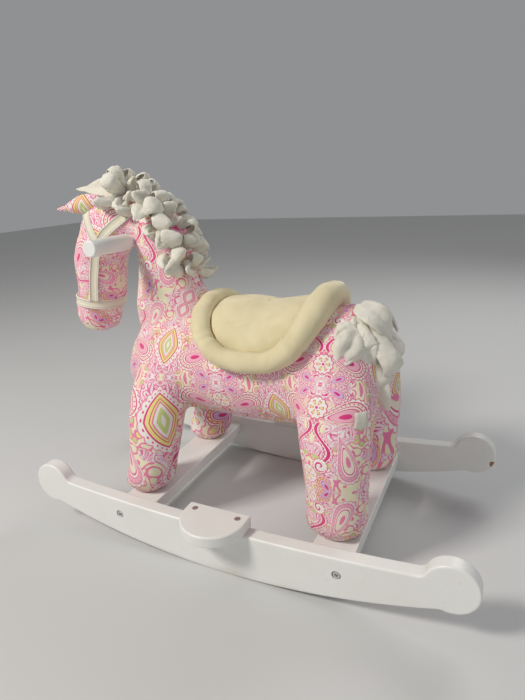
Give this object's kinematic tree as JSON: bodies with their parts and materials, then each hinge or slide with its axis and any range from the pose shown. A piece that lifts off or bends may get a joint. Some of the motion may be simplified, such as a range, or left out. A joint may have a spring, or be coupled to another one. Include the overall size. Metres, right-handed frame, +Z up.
{
  "type": "rocking horse",
  "caption": "Stuffed fabric toy horse on two curved wooden rockers, with a padded saddle, side footrests, hand pegs, cloth-loop mane and tail.",
  "frame": {"origin": "on the floor, midway between the two rockers, below the middle of their curve", "axes": "+X towards the tail, so the nose points to -X; -Y is the horse's left side; +Z up"},
  "size_m": [0.7097, 0.441, 0.5659],
  "materials": {
    "painted_wood": "white satin paint",
    "raw_wood": "bare plywood",
    "print": "printed cotton, pink paisley on white",
    "velour": "cream brushed velour",
    "calico": "off-white cotton",
    "tape": "cream cotton tape",
    "fibre": "polyester filling",
    "steel": "zinc-plated"
  },
  "bodies": {
    "horse": {"barrel_nuts": "steel", "bridle_brow_band": "tape", "bridle_cheek_left": "tape", "bridle_cheek_right": "tape", "bridle_nose_band": "tape", "care_label": "tape", "footrest_left": "painted_wood", "footrest_right": "painted_wood", "footrest_screws": "steel", "forelock": "calico", "frame_screws": "steel", "handle_peg_left": "painted_wood", "handle_peg_right": "painted_wood", "handle_tie_bolt": "steel", "head_cover": "print", "head_stuffing": "fibre", "hip_block": "raw_wood", "hoof_screws": "steel", "leg_cover_front_left": "print", "leg_cover_front_right": "print", "leg_cover_rear_left": "print", "leg_cover_rear_right": "print", "leg_post_front_left": "raw_wood", "leg_post_front_right": "raw_wood", "leg_post_rear_left": "raw_wood", "leg_post_rear_right": "raw_wood", "leg_stuffing_front_left": "fibre", "leg_stuffing_front_right": "fibre", "leg_stuffing_rear_left": "fibre", "leg_stuffing_rear_right": "fibre", "mane_loops_left": "calico", "mane_loops_right": "calico", "mane_tape": "tape", "neck_board": "raw_wood", "neck_cover": "print", "neck_stuffing": "fibre", "rocker_bolts": "steel", "rocker_left": "painted_wood", "rocker_right": "painted_wood", "saddle_bolster": "velour", "saddle_pad": "velour", "shoulder_block": "raw_wood", "slat_dowels": "raw_wood", "slat_front": "painted_wood", "slat_rear": "painted_wood", "spine_board": "raw_wood", "torso_cover": "print", "torso_stuffing": "fibre"},
    "left_ear": {"ear_left": "print"},
    "right_ear": {"ear_right": "print"},
    "tail": {"tail_loops": "calico", "tail_ribbon": "calico", "tail_side_loop": "calico"}
  },
  "joints": [
    {"name": "left_ear_flop", "type": "hinge", "parent": "horse", "child": "left_ear", "pos_m": [-0.262, -0.026, 0.537], "axis": [0, 1, 0], "range_deg": [0, 40], "stiffness_Nm_per_rad": 0.15},
    {"name": "right_ear_flop", "type": "hinge", "parent": "horse", "child": "right_ear", "pos_m": [-0.262, 0.026, 0.537], "axis": [0, 1, 0], "range_deg": [-11, 30], "stiffness_Nm_per_rad": 0.15},
    {"name": "tail_swing", "type": "hinge", "parent": "horse", "child": "tail", "pos_m": [0.153, 0, 0.373], "axis": [0, -1, 0], "range_deg": [0, 60]}
  ]
}
